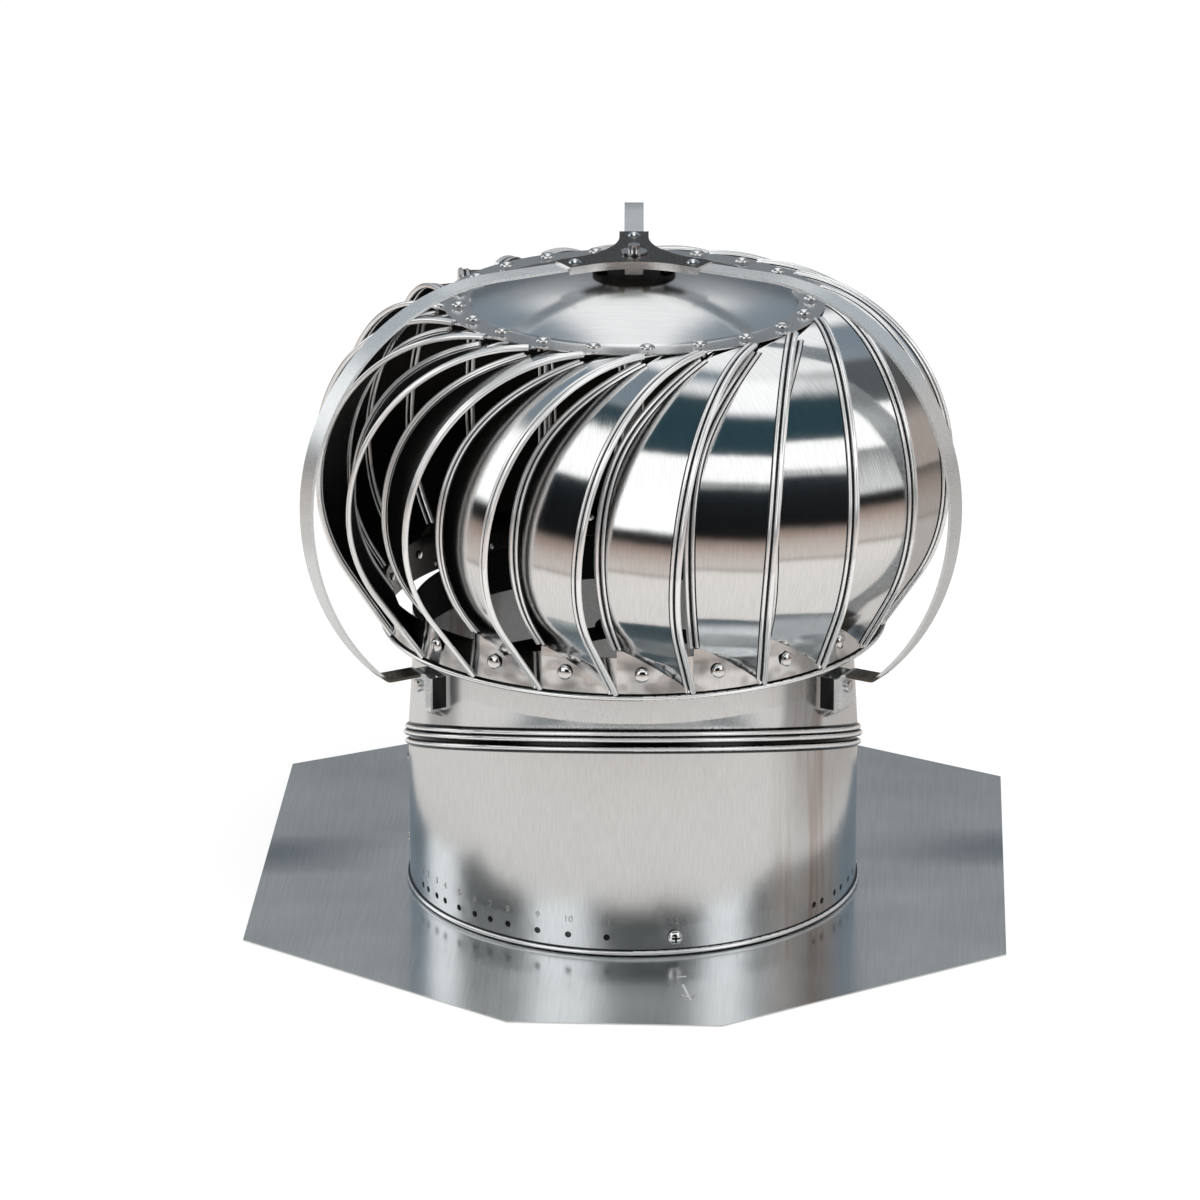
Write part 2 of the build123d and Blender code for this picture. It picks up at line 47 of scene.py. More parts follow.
# Sizes of the turbine. An azimuth is in degrees from the turbine's front, towards its right,
# apart from the rivets' own, which starts at the flashing's front.
RING_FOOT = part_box("bottom_ring")[0].z
CAP_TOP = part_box("top_cap")[1].z
CAP_FLANGE = CAP_TOP - 17.4 * MM
TURBINE_TURN = 2.57  # degrees that the turbine stands askew on its flashing
SHEET = 0.8 * MM  # thickness of the flashing and of the blades
RIM_EDGE = 152.0 * MM  # just outside the flashing's drawn rim
COLLAR_RADIUS = 152.6 * MM
NECK_RADIUS = 149.3 * MM
NECK_FOOT = 163.5 * MM
RING_RADIUS = 167.9 * MM
SEAM_HEIGHT = 101.5 * MM
SEAM_TILT = math.radians(17.8)
LEG_AZIMUTHS = (-60, 60, 180)
FOOT_DEPTH = 12.9 * MM  # stand-off of a foot bracket from the neck
FOOT_WIDTH = 24 * MM
BLADE_COUNT = 21
BLADE_TURNS = [360 / BLADE_COUNT * number for number in range(BLADE_COUNT)]  # from the first blade
BLADE_LEAN = 36.6  # degrees from a blade's bottom rivet round to its top rivet
BLADE_SKEW = 24  # degrees that a blade's bends are turned on the ring
FIRST_RIVET_AZIMUTH = 1.95 + TURBINE_TURN
TOP_RIVET_RADIUS = 117.4 * MM
BOTTOM_RIVET_HEIGHT = RING_FOOT + 17.8 * MM


# ---------- shader arithmetic ----------

class Signal:
    """A number or a colour that changes over a surface. Numbers take Python's arithmetic."""

    def __init__(self, finish, socket):
        self.finish = finish
        self.socket = socket

    def __add__(self, other):
        return self.finish.maths("ADD", self, other)

    def __sub__(self, other):
        return self.finish.maths("SUBTRACT", self, other)

    def __rsub__(self, other):
        return self.finish.maths("SUBTRACT", other, self)

    def __mul__(self, other):
        return self.finish.maths("MULTIPLY", self, other)

    def __abs__(self):
        return self.finish.maths("ABSOLUTE", self)

    __radd__ = __add__
    __rmul__ = __mul__

    def step(self, low, high, start=0.0, end=1.0):
        """Smooth step from start to end as the signal goes from low to high."""
        return self.finish.node("ShaderNodeMapRange", {"interpolation_type": "SMOOTHSTEP"}, {
            "Value": self, "From Min": low, "From Max": high, "To Min": start, "To Max": end})

    def band(self, low, high, soft):
        """One between low and high, fading over soft at both ends."""
        return self.step(low - soft, low + soft) * self.step(high - soft, high + soft, 1.0, 0.0)


class Finish:
    """The node tree of a material or of the world."""

    def __init__(self, owner):
        owner.use_nodes = True
        self.tree = owner.node_tree
        self.tree.nodes.clear()

    def node(self, kind, settings=None, inputs=None, output=0):
        made = self.tree.nodes.new(kind)
        for name, value in (settings or {}).items():
            setattr(made, name, value)
        for name, value in (inputs or {}).items():
            self.feed(made.inputs[name], value)
        return Signal(self, made.outputs[output])

    def feed(self, socket, value):
        if isinstance(value, Signal):
            self.tree.links.new(value.socket, socket)
        else:
            socket.default_value = value

    def maths(self, operation, *values):
        return self.node("ShaderNodeMath", {"operation": operation}, dict(enumerate(values)))

    def place(self):
        return self.node("ShaderNodeTexCoord", output="Object")

    def split(self, vector):
        made = self.tree.nodes.new("ShaderNodeSeparateXYZ")
        self.feed(made.inputs[0], vector)
        return [Signal(self, made.outputs[axis]) for axis in range(3)]

    def join(self, x, y, z):
        return self.node("ShaderNodeCombineXYZ", {}, {0: x, 1: y, 2: z})

    def reach(self):
        """Distance from the turbine's axis."""
        x, y, z = self.split(self.place())
        return self.maths("SQRT", x * x + y * y)

    def turn(self, x, y):
        """Degrees round from the flashing's front, towards its right."""
        return self.maths("ARCTAN2", x, 0 - y) * DEGREES

    def azimuth(self):
        x, y, z = self.split(self.place())
        return self.turn(x, y) - TURBINE_TURN

    def noise(self, vector, scale, detail=2.0, roughness=0.5):
        return self.node("ShaderNodeTexNoise", {}, {
            "Vector": vector, "Scale": scale, "Detail": detail, "Roughness": roughness})

    def blend(self, factor, first, second):
        """Mix of two colours. A Mix node's sockets 6 and 7, and its output 2, are its colours."""
        colours = {0: factor, 6: first, 7: second}
        return self.node("ShaderNodeMix", {"data_type": "RGBA"}, colours, output=2)

    def grade(self, factor, stops):
        """Colour ramp through (position, colour) stops."""
        made = self.tree.nodes.new("ShaderNodeValToRGB")
        marks = made.color_ramp.elements
        while len(marks) < len(stops):
            marks.new(0.5)
        for mark, (position, colour) in zip(marks, stops):
            mark.position = position
            mark.color = colour
        self.feed(made.inputs[0], factor)
        return Signal(self, made.outputs[0])

    def bump(self, height, distance, strength=1.0, normal=None):
        inputs = {"Height": height, "Distance": distance, "Strength": strength}
        if normal:
            inputs["Normal"] = normal
        return self.node("ShaderNodeBump", {}, inputs)

    def close(self, shader, kind="ShaderNodeOutputMaterial"):
        self.feed(self.tree.nodes.new(kind).inputs[0], shader)


def grey(level, tint):
    return (level * tint[0], level * tint[1], level * tint[2], 1.0)


# ---------- sheet metal ----------

# Fineness of the noises in a sheet, and the factor that draws its mill lines out
UP_LINES, FLAT_LINES, CLOUDS, BLOTCHES, SPECKS = 150.0, 900.0, 14.0, 60.0, 1500.0
DRAWN_OUT = 0.02
WARM_STREAK = (0.46, 0.31, 0.25, 1)


def mill_lines(finish, grain):
    """Fine lines that run up the sheet, from side to side or from front to back."""
    x, y, z = finish.split(finish.place())
    if grain == "up":
        unrolled = finish.join(finish.maths("ARCTAN2", x, y), z * 0.5, 0.0)
        return finish.noise(unrolled, UP_LINES, 3.0, 0.65)
    if grain == "side":
        return finish.noise(finish.join(x * DRAWN_OUT, y, z), FLAT_LINES, 3.0, 0.6)
    return finish.noise(finish.join(x, y * DRAWN_OUT, z * 0.3), FLAT_LINES, 3.0, 0.6)


def aluminium(name, tone, tint, shine, grain, grain_depth, cloud, streak, metallic=1.0,
              painted_shade=None, painted_shade_colour=None, warm=None, wave=None):
    """Rolled sheet. Shine is its roughness, and cloud and streak are shares of its tone and shine.
    Its painted shade, and the colour of it, say where shade or a dark reflection is painted; warm says where
    it is brown, and wave how it swells, in millimetres."""
    metal = bpy.data.materials.new(name)
    finish = Finish(metal)
    mill = mill_lines(finish, grain)
    clouds = finish.noise(finish.place(), CLOUDS, 3.0, 0.55)
    blotches = finish.noise(finish.place(), BLOTCHES, 2.0, 0.6)
    specks = finish.noise(finish.place(), SPECKS, 1.0, 0.5)
    shade = (clouds + blotches * 0.6) * cloud + mill.step(0.25, 0.75) * streak * 0.5
    colour = finish.blend(shade.step(cloud * 0.5, cloud * 1.1 + streak * 0.5),
                          grey(tone * (1 - cloud - streak * 0.4), tint), grey(tone, tint))
    if warm:
        colour = finish.blend(warm(finish), colour, WARM_STREAK)
    # painted shade and painted reflections darken the base colour here
    if painted_shade:
        colour = finish.blend(painted_shade(finish), colour, painted_shade_colour)
    rough = shine * (1 - streak * 0.4) + mill * (shine * streak) + clouds * (shine * cloud * 2)
    rough = rough + specks.step(0.62, 0.75) * (shine * 0.25)
    normal = finish.bump(mill, grain_depth, 0.6)
    normal = finish.bump(specks, grain_depth * 0.5, 0.4, normal)
    if wave:
        normal = finish.bump(wave(finish), 1 * MM, 1.0, normal)
    finish.close(finish.node("ShaderNodeBsdfPrincipled", {}, {
        "Base Color": colour, "Metallic": metallic, "Roughness": rough, "Normal": normal}))
    return metal


# ---------- painted shade, painted reflections and brown streaks ---

# Heights across the seam in millimetres, and depth, of the painted shade lines beside its beads
SEAM_SHADE_LINES = ((-7.0, -5.3, 0.9), (-2.7, 0.8, 0.97), (3.3, 4.7, 0.96), (7.3, 9.2, 0.93))
LEDGE_REFLECTION_TOP = 178.5 * MM  # a strap's ledge takes a painted brown reflection up to here
CHEEK_FOOT = 151 * MM  # lower edge of the painted shade on the foot brackets' cheeks
BRIGHT_EDGE = CAP_TOP + 14.55 * MM  # the three-pronged plate's rolled edge is bright up to here, and its top above takes a painted dark reflection


def within(finish, radius):
    """Inner side of a round wall, where shade is painted."""
    return finish.reach().step(radius - 0.15 * MM, radius + 0.15 * MM, 1.0, 0.0)


def seam_grooves(finish):
    """Painted shade in the grooves beside and between the seam's beads."""
    x, y, z = finish.split(finish.place())
    turn = math.radians(TURBINE_TURN)
    level = y * (math.cos(turn) * math.sin(SEAM_TILT)) - x * (math.sin(turn) * math.sin(SEAM_TILT))
    level = level + (z - SEAM_HEIGHT) * math.cos(SEAM_TILT)
    return sum(level.band(low * MM, high * MM, 0.2 * MM) * depth for low, high, depth in SEAM_SHADE_LINES)


def collar_stain(finish):
    """Painted shade in lines above and below the bead at the collar's foot, and at the seam."""
    x, y, z = finish.split(finish.place())
    above = z.band(4.4 * MM, 5.4 * MM, 0.3 * MM) * 0.9
    return above + z.step(0.9 * MM, 1.4 * MM, 0.9, 0.0) + seam_grooves(finish)


def collar_warmth(finish):
    """Faint brown streaks at the collars' right, and at the left of their back."""
    x, y, z = finish.split(finish.place())
    azimuth = finish.azimuth()
    streaks = finish.noise(finish.join(azimuth * 0.02, z * 0.4, 0.0), 11.0, 2.0, 0.6).step(0.42, 0.66)
    return streaks * (azimuth.band(40, 60, 4.0) + azimuth.band(-140, -120, 4.0)) * 0.5


def neck_stain(finish):
    """Painted shade on the inner side, painted shadows of the foot brackets in strips beside them, and
    painted shade in the grooves at the seam.
    """
    x, y, z = finish.split(finish.place())
    azimuth = finish.azimuth()
    bracket_shadows = azimuth.band(42, 57, 2.0) * 0.45 + azimuth.band(-66, -52, 3.0) * 0.4
    bracket_shadows = bracket_shadows + azimuth.band(140, 165, 5.0) * 0.4
    inside = within(finish, NECK_RADIUS - 0.4 * MM) * z.step(NECK_FOOT, NECK_FOOT + 1 * MM)
    return inside + bracket_shadows + seam_grooves(finish)


def ring_stain(finish):
    """Painted shade on the inner side, and in lines beside the bead at the ring's foot."""
    x, y, z = finish.split(finish.place())
    height = z - RING_FOOT
    lines = height.band(3.2 * MM, 5.2 * MM, 0.3 * MM) * 0.9 + height.step(0.6 * MM, 0.9 * MM, 0.9, 0.0)
    inside = within(finish, RING_RADIUS - 0.4 * MM)
    return inside + lines * (1 - inside)


def flashing_stain(finish):
    """Painted shade on the drawn rim, where it shows through the setting holes."""
    x, y, z = finish.split(finish.place())
    rim = finish.reach().step(RIM_EDGE, RIM_EDGE + 0.4 * MM, 0.93, 0.0)
    return rim * z.step(0.4 * MM, 1.0 * MM)


def bracket_stain(finish):
    """Painted shade on the foot brackets' cheeks, between bright edges."""
    x, y, z = finish.split(finish.place())
    cheeks = 0
    for azimuth in LEG_AZIMUTHS:
        turn = math.radians(azimuth + TURBINE_TURN)
        across = abs(x * math.cos(turn) + y * math.sin(turn))
        outward = x * math.sin(turn) - y * math.cos(turn)
        cheek = across.band(FOOT_WIDTH / 2 - 0.5 * MM, FOOT_WIDTH / 2 + 1 * MM, 0.1 * MM)
        depth = outward.band(NECK_RADIUS + 1.0 * MM, NECK_RADIUS + FOOT_DEPTH - 1.6 * MM, 0.2 * MM)
        cheeks = cheek * depth + cheeks
    return cheeks * z.step(CHEEK_FOOT, CHEEK_FOOT + 1 * MM) * 0.97


def strap_stain(finish):
    """Painted brown reflection on the ledge above each foot tab."""
    x, y, z = finish.split(finish.place())
    bracket_face = NECK_RADIUS + FOOT_DEPTH
    ledge = finish.reach().step(bracket_face + 4 * MM, bracket_face + 6 * MM)
    return ledge * z.step(LEDGE_REFLECTION_TOP, LEDGE_REFLECTION_TOP + 2.5 * MM, 0.94, 0.0)


def plate_stain(finish):
    """Dark top of the three-pronged plate, painted as a reflection and broken by pits, inside its bright
    rolled edge.
    """
    x, y, z = finish.split(finish.place())
    pits = finish.noise(finish.place(), 700.0, 3.0, 0.7).step(0.4, 0.65, 0.86, 0.99)
    return z.step(BRIGHT_EDGE, BRIGHT_EDGE + 0.35 * MM) * pits


def foot_stain(finish):
    """Painted uneven shade and reflections on the tabs under the blades' feet."""
    x, y, z = finish.split(finish.place())
    feet = z.step(RING_FOOT + 24 * MM, RING_FOOT + 32 * MM, 1.0, 0.0)
    return feet * finish.noise(finish.place(), 48.0, 1.0, 0.4).step(0.35, 0.65, 0.08, 0.6)


# ---------- waves in the sheet ----------

def foot_wave(finish):
    """Uneven metal round the blades' feet, and a gentle buckle higher up."""
    x, y, z = finish.split(finish.place())
    feet = z.step(RING_FOOT + 27 * MM, RING_FOOT + 37 * MM, 1.0, 0.08)
    return finish.noise(finish.place(), 55.0, 1.0, 0.4) * feet * 1.1


def sheet_wave(finish):
    return finish.noise(finish.place(), 22.0, 1.0, 0.4) * 0.25


def flashing_wave(finish):
    """A shallow crease out to each side edge, and gentle buckles all over."""
    x, y, z = finish.split(finish.place())
    side = abs(x).step(150 * MM, 250 * MM)
    crease = (y - x * 0.08).step(0.0, 80 * MM) * side * -3.2
    return crease + finish.noise(finish.place(), 10.0, 1.0, 0.4) * 0.9


# ---------- metals ----------

WHITE = (1.0, 1.0, 1.0)
COOL = (0.985, 0.995, 1.0)
BLUISH = (0.95, 0.985, 1.0)
# colour of the painted brown reflection on the straps' ledges
LEDGE_REFLECTION_BROWN = (0.05, 0.036, 0.02, 1)
# colour of the painted shade on the blades' foot tabs
FOOT_SHADE_GREY = (0.13, 0.13, 0.135, 1)
# colour of the painted dark reflection on the plate's top
PLATE_REFLECTION_DARK = (0.022, 0.019, 0.015, 1)
# colour of the painted shade on collars, ring, flashing rim and foot brackets
SHADE_BLACK = (0.006, 0.006, 0.006, 1)
FAINT, FINE, PLAIN = 0.01 * MM, 0.02 * MM, 0.03 * MM  # depths of grain

# Name, tone, tint, shine, grain, its depth, cloud, streak, and how metallic it is
BLADE_METAL = aluminium("blade_metal", 0.93, COOL, 0.095, "up", PLAIN, 0.04, 0.14,
                        painted_shade=foot_stain, painted_shade_colour=FOOT_SHADE_GREY, wave=foot_wave)
# Blades' inner skins: near black, as painted shade
BLADE_INSIDE_SHADE = aluminium("blade_inside_painted_shade", 0.022, (1.0, 0.93, 0.85), 0.34, "up", PLAIN, 0.15, 0.25)
HEM_METAL = aluminium("hem_metal", 0.98, WHITE, 0.08, "up", FAINT, 0.02, 0.05, 0.7)
# Thin near-black rolls in the hems, as painted shade in their folds
HEM_SHADE_METAL = aluminium("hem_painted_shade", 0.03, (0.9, 0.97, 1.0), 0.4, "up", FAINT, 0.05, 0.1)
CAP_METAL = aluminium("cap_metal", 0.92, COOL, 0.18, "side", FAINT, 0.05, 0.08)
RING_METAL = aluminium("ring_metal", 0.92, WHITE, 0.14, "up", FINE, 0.05, 0.12,
                       painted_shade=ring_stain, painted_shade_colour=SHADE_BLACK)
COLLAR_METAL = aluminium("collar_metal", 0.85, (0.965, 0.985, 1.0), 0.19, "up", FINE, 0.06, 0.14,
                         painted_shade=collar_stain, painted_shade_colour=SHADE_BLACK, warm=collar_warmth, wave=sheet_wave)
FIGURE_METAL = aluminium("figure_metal", 0.62, (1.0, 0.98, 0.95), 0.30, "up", FAINT, 0.08, 0.2)
NECK_METAL = aluminium("neck_metal", 0.84, (0.98, 0.99, 1.0), 0.26, "up", FINE, 0.06, 0.14, 0.8,
                       painted_shade=neck_stain, painted_shade_colour=SHADE_BLACK, warm=collar_warmth, wave=sheet_wave)
FLASHING_METAL = aluminium("flashing_metal", 0.78, BLUISH, 0.17, "front", FINE, 0.08, 0.10,
                           painted_shade=flashing_stain, painted_shade_colour=SHADE_BLACK, wave=flashing_wave)
STRAP_METAL = aluminium("strap_metal", 0.86, BLUISH, 0.24, "side", FINE, 0.08, 0.15, 0.75,
                        painted_shade=strap_stain, painted_shade_colour=LEDGE_REFLECTION_BROWN)
BRACKET_METAL = aluminium("bracket_box_metal", 0.90, (0.97, 0.99, 1.0), 0.2, "side", FINE, 0.08, 0.15,
                          painted_shade=bracket_stain, painted_shade_colour=SHADE_BLACK)
RIVET_METAL = aluminium("rivet_metal", 0.93, WHITE, 0.10, "side", FAINT, 0.05, 0.1)
BRIGHT_STEEL = aluminium("bright_steel", 0.80, (0.98, 0.99, 1.0), 0.18, "side", FAINT, 0.05, 0.1)
PLATE_STEEL = aluminium("plate_steel", 0.92, WHITE, 0.22, "side", PLAIN, 0.1, 0.2,
                        painted_shade=plate_stain, painted_shade_colour=PLATE_REFLECTION_DARK)
# Dark steel of the hub and the bearings, also used as painted shade in the lock screw's recess and on low
# steep faces of a head
DARK_STEEL_AND_SHADE = aluminium("dark_steel", 0.025, (1.0, 0.85, 0.7), 0.40, "side", PLAIN, 0.3, 0.2)
BRONZE = aluminium("bearing_bronze", 0.30, (1.0, 0.72, 0.42), 0.30, "side", FINE, 0.1, 0.2)

NODE_METALS = {
    "flashing": FLASHING_METAL, "lower_collar": COLLAR_METAL, "upper_collar": NECK_METAL,
    "top_cap": CAP_METAL, "bottom_ring": RING_METAL, "top_bracket": PLATE_STEEL, "upper_bearing": BRONZE,
}
METAL_GROUPS = {
    RIVET_METAL: ("collar_seam_rivets", "foot_rivets", "bracket_rivets", "bearing_rivets", "top_rivets",
                  "bottom_rivets"),
    BRIGHT_STEEL: ("collar_lock_screw", "leg_screws", "leg_nuts", "shaft", "shaft_washer"),
    DARK_STEEL_AND_SHADE: ("bearing_spider", "lower_bearing", "hub_plate", "hub_screws"),
    STRAP_METAL: ("leg_left", "leg_right", "leg_rear"),
    BRACKET_METAL: ("foot_bracket_left", "foot_bracket_right", "foot_bracket_rear"),
}
for metal, group in METAL_GROUPS.items():
    NODE_METALS.update({name: metal for name in group})
for name, node in nodes.items():
    node.data.materials[0] = BLADE_METAL if name.startswith("blade_") else NODE_METALS[name]


# ---------- modelling helpers ----------

def alone(*pieces):
    """Selects only these pieces."""
    bpy.ops.object.select_all(action="DESELECT")
    for piece in pieces:
        piece.select_set(True)
    bpy.context.view_layer.objects.active = pieces[0]


def twin(piece):
    """A copy with its own mesh or curve."""
    copy = piece.copy()
    copy.data = piece.data.copy()
    bpy.context.collection.objects.link(copy)
    return copy


def copy_of(node, name):
    """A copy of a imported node's mesh, with its seams merged."""
    piece = twin(nodes[node])
    piece.name = name
    piece.parent = None
    piece.rotation_mode = "XYZ"
    alone(piece)
    bpy.ops.mesh.customdata_custom_splitnormals_clear()
    bpy.ops.object.mode_set(mode="EDIT")
    bpy.ops.mesh.select_all(action="SELECT")
    bpy.ops.mesh.remove_doubles(threshold=0.002 * MM)
    bpy.ops.object.mode_set(mode="OBJECT")
    bpy.ops.object.shade_smooth_by_angle(angle=math.radians(28))
    return piece


def choose(piece, kind, test):
    """Selects the faces or edges of a piece that pass a test, in edit mode."""
    bpy.ops.object.mode_set(mode="EDIT")
    bpy.ops.mesh.select_mode(type=kind)
    bpy.ops.mesh.select_all(action="DESELECT")
    bpy.ops.object.mode_set(mode="OBJECT")
    for item in (piece.data.polygons if kind == "FACE" else piece.data.edges):
        item.select = test(item)
    bpy.ops.object.mode_set(mode="EDIT")


def coat(piece, *metals):
    piece.data.materials.clear()
    for metal in metals:
        piece.data.materials.append(metal)


def paint_faces(piece, slot, test):
    """Gives the faces that pass a test the material in a slot."""
    alone(piece)
    choose(piece, "FACE", test)
    piece.active_material_index = slot
    bpy.ops.object.material_slot_assign()
    bpy.ops.object.mode_set(mode="OBJECT")


def bake_place(piece):
    alone(piece)
    bpy.ops.object.transform_apply(location=True, rotation=True, scale=True)


def joined(pieces, name):
    alone(*pieces)
    bpy.ops.object.join()
    whole = bpy.context.object
    whole.name = name
    return whole


def turned_copies(master, turns):
    """Copies of a piece turned about the turbine's axis, in place of the piece itself."""
    copies = []
    for turn in turns:
        piece = twin(master)
        piece.rotation_euler.z = math.radians(turn)
        bake_place(piece)
        copies.append(piece)
    bpy.data.objects.remove(master)
    return copies


# ---------- blades ----------

FOOT_TURN = math.radians(FIRST_RIVET_AZIMUTH)
BEND_TURN = math.radians(FIRST_RIVET_AZIMUTH - BLADE_SKEW)
ALONG = Vector((math.cos(BEND_TURN), math.sin(BEND_TURN), 0))  # along the first blade's bends
OUTWARD = Vector((math.sin(BEND_TURN), -math.cos(BEND_TURN), 0))
FOOT_RIVET = Vector((math.sin(FOOT_TURN) * RING_RADIUS, -math.cos(FOOT_TURN) * RING_RADIUS,
                     BOTTOM_RIVET_HEIGHT))
INNER_DEPTH, INNER_HEIGHT = 90 * MM, 300 * MM  # a line inside the blade's curve, parallel to its bends
SHOULDER_DEPTH, BELLY_HEIGHT = 67 * MM, 289.3 * MM  # centre of the curve from the belly to the cap
BELLY_MIDDLE, SHOULDER_SHIFT = 76 * MM, 29 * MM  # the blade's middle, along its bends
HEM_LIMIT = 131 * MM  # the hems end here, outside the cap's flange
RIVET_CLEARANCE = 6 * MM
LEFT_HEM_FOOT = BOTTOM_RIVET_HEIGHT + 19 * MM
RIGHT_HEM_FOOT = RING_FOOT + 5 * MM

# Radius of each line of the hem, its distance in from the edge, and its metal. The thin dark lines are
# painted shade inside the bright rolls.
HEM_ROLLS = ((1.8 * MM, 0.0, HEM_METAL), (0.7 * MM, 2.5 * MM, HEM_SHADE_METAL),
             (1.25 * MM, 4.4 * MM, HEM_METAL), (0.45 * MM, 5.9 * MM, HEM_SHADE_METAL))


def facing(face):
    """Above zero on the first blade's outer skin, below on its inner skin, and zero on its edges."""
    if abs(face.normal.dot(ALONG)) >= 0.75:
        return 0
    depth = face.center.dot(OUTWARD) - INNER_DEPTH
    return face.normal.dot(OUTWARD) * depth + face.normal.z * (face.center.z - INNER_HEIGHT)


def right_of_middle(point):
    lift = math.atan2(point.z - BELLY_HEIGHT, point.dot(OUTWARD) - SHOULDER_DEPTH)
    share = max(0.0, min(1.0, lift / (math.pi / 2)))
    return point.dot(ALONG) > BELLY_MIDDLE + SHOULDER_SHIFT * share ** 1.3


def is_long_edge(piece, edge, right):
    """An edge down the blade's left or right side, between the cap's flange and the foot."""
    first, last = (piece.data.vertices[end].co for end in edge.vertices)
    middle = (first + last) / 2
    if right_of_middle(middle) != right:
        return False
    if math.hypot(middle.x, middle.y) < HEM_LIMIT or (middle - FOOT_RIVET).length < RIVET_CLEARANCE:
        return False
    if abs((last - first).normalized().dot(ALONG)) > 0.9:
        return False
    return edge.select and middle.z > (RIGHT_HEM_FOOT if right else LEFT_HEM_FOOT)


def edge_line(sheet, right):
    """A curve down one side of the blade."""
    outline = twin(sheet)
    alone(outline)
    choose(outline, "FACE", lambda face: facing(face) > 0)
    bpy.ops.mesh.region_to_loop()
    bpy.ops.object.mode_set(mode="OBJECT")
    kept = [is_long_edge(outline, edge, right) for edge in outline.data.edges]
    choose(outline, "EDGE", lambda edge: kept[edge.index])
    bpy.ops.mesh.duplicate()
    bpy.ops.mesh.separate(type="SELECTED")
    bpy.ops.object.mode_set(mode="OBJECT")
    line = [piece for piece in bpy.context.selected_objects if piece != outline][0]
    bpy.data.objects.remove(outline)
    alone(line)
    bpy.ops.object.convert(target="CURVE")
    return line


def hem(sheet, right):
    """Rolled hem down one side of a blade: a thick outer roll and a thinner inner one, each followed by a
    thin dark roll of painted shade.
    """
    line = edge_line(sheet, right)
    rolls = []
    for radius, inset, metal in HEM_ROLLS:
        roll = twin(line)
        roll.data.bevel_depth = radius
        roll.data.bevel_resolution = 3
        roll.data.use_fill_caps = True
        alone(roll)
        bpy.ops.object.convert(target="MESH")
        roll.location = ALONG * (-inset if right else inset)
        bake_place(roll)
        bpy.ops.object.shade_smooth_by_angle(angle=math.radians(40))
        coat(roll, metal)
        rolls.append(roll)
    bpy.data.objects.remove(line)
    return rolls


def blades():
    sheet = copy_of("blade_01", "blade_sheet_master")
    rolls = hem(sheet, False) + hem(sheet, True)
    # The inner skins take the near-black painted shade.
    sheet.data.materials.append(BLADE_INSIDE_SHADE)
    paint_faces(sheet, 1, lambda face: facing(face) < 0)
    alone(sheet, *rolls)
    bpy.ops.object.join()
    for number, piece in enumerate(turned_copies(sheet, BLADE_TURNS), start=1):
        piece.name = f"hemmed_blade_{number:02d}"
        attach(piece, "head")
        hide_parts(f"blade_{number:02d}")


# ---------- rivets and the lock screw ----------

RIVET_RADIUS = 4.9 * MM
RIVET_TAIL = 2.4 * MM  # depth of the middle of the bucked tail
RIVET_RIM = 0.5 * MM  # steep rim under the dome
TAIL_LENGTH = 1.4 * MM
SCREW_RADIUS, SCREW_HEIGHT = 4.7 * MM, 3.0 * MM
RECESS = (5.6 * MM, 1.3 * MM, 2.6 * MM)  # length, width and height of each arm's cutter
RECESS_REACH = 3.2 * MM


def rivet_master(radius, height, tail, shank=2.7 * MM):
    """Domed head with a steep rim, and its bucked tail below. The dome is scaled about its own
    middle, which leaves the head's base (radius - height + RIVET_RIM) / 2 above z = 0, and its
    rim above the heights that take dark steel as painted shade."""
    bpy.ops.object.select_all(action="DESELECT")
    bpy.ops.mesh.primitive_uv_sphere_add(segments=28, ring_count=16, radius=radius)
    head = bpy.context.object
    bpy.ops.object.mode_set(mode="EDIT")
    bpy.ops.mesh.select_all(action="SELECT")
    bpy.ops.mesh.bisect(plane_co=(0, 0, 0), plane_no=(0, 0, 1), clear_inner=True, use_fill=False)
    bpy.ops.mesh.select_all(action="SELECT")
    bpy.ops.transform.resize(value=(1, 1, (height - RIVET_RIM) / radius))
    bpy.ops.transform.translate(value=(0, 0, RIVET_RIM))
    bpy.ops.mesh.select_mode(type="EDGE")
    bpy.ops.mesh.select_all(action="DESELECT")
    bpy.ops.mesh.select_non_manifold()
    bpy.ops.mesh.extrude_region_move(TRANSFORM_OT_translate={"value": (0, 0, -RIVET_RIM)})
    bpy.ops.mesh.fill()
    bpy.ops.object.mode_set(mode="OBJECT")
    bpy.ops.mesh.primitive_cylinder_add(vertices=20, radius=shank, depth=TAIL_LENGTH, location=(0, 0, -tail))
    bucked = bpy.context.object
    bpy.ops.object.mode_set(mode="EDIT")
    bpy.ops.mesh.select_all(action="SELECT")
    bpy.ops.mesh.bevel(offset=0.4 * MM, segments=2)
    bpy.ops.object.mode_set(mode="OBJECT")
    alone(head, bucked)
    bpy.ops.object.join()
    bpy.ops.object.shade_smooth_by_angle(angle=math.radians(50))
    coat(head, RIVET_METAL, DARK_STEEL_AND_SHADE)
    # Steep faces just above z = 0 take dark steel as painted shade.
    paint_faces(head, 1, lambda face: 0 < face.center.z < 0.55 * MM and abs(face.normal.z) < 0.6)
    return head


def top_rivets():
    master = rivet_master(RIVET_RADIUS, 2.7 * MM, RIVET_TAIL)
    master.location = (0, -TOP_RIVET_RADIUS, CAP_FLANGE)
    bake_place(master)
    row = [FIRST_RIVET_AZIMUTH + BLADE_LEAN + turn for turn in BLADE_TURNS]
    whole = joined(turned_copies(master, row), "cap_rivets")
    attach(whole, "head")
    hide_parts("top_rivets")


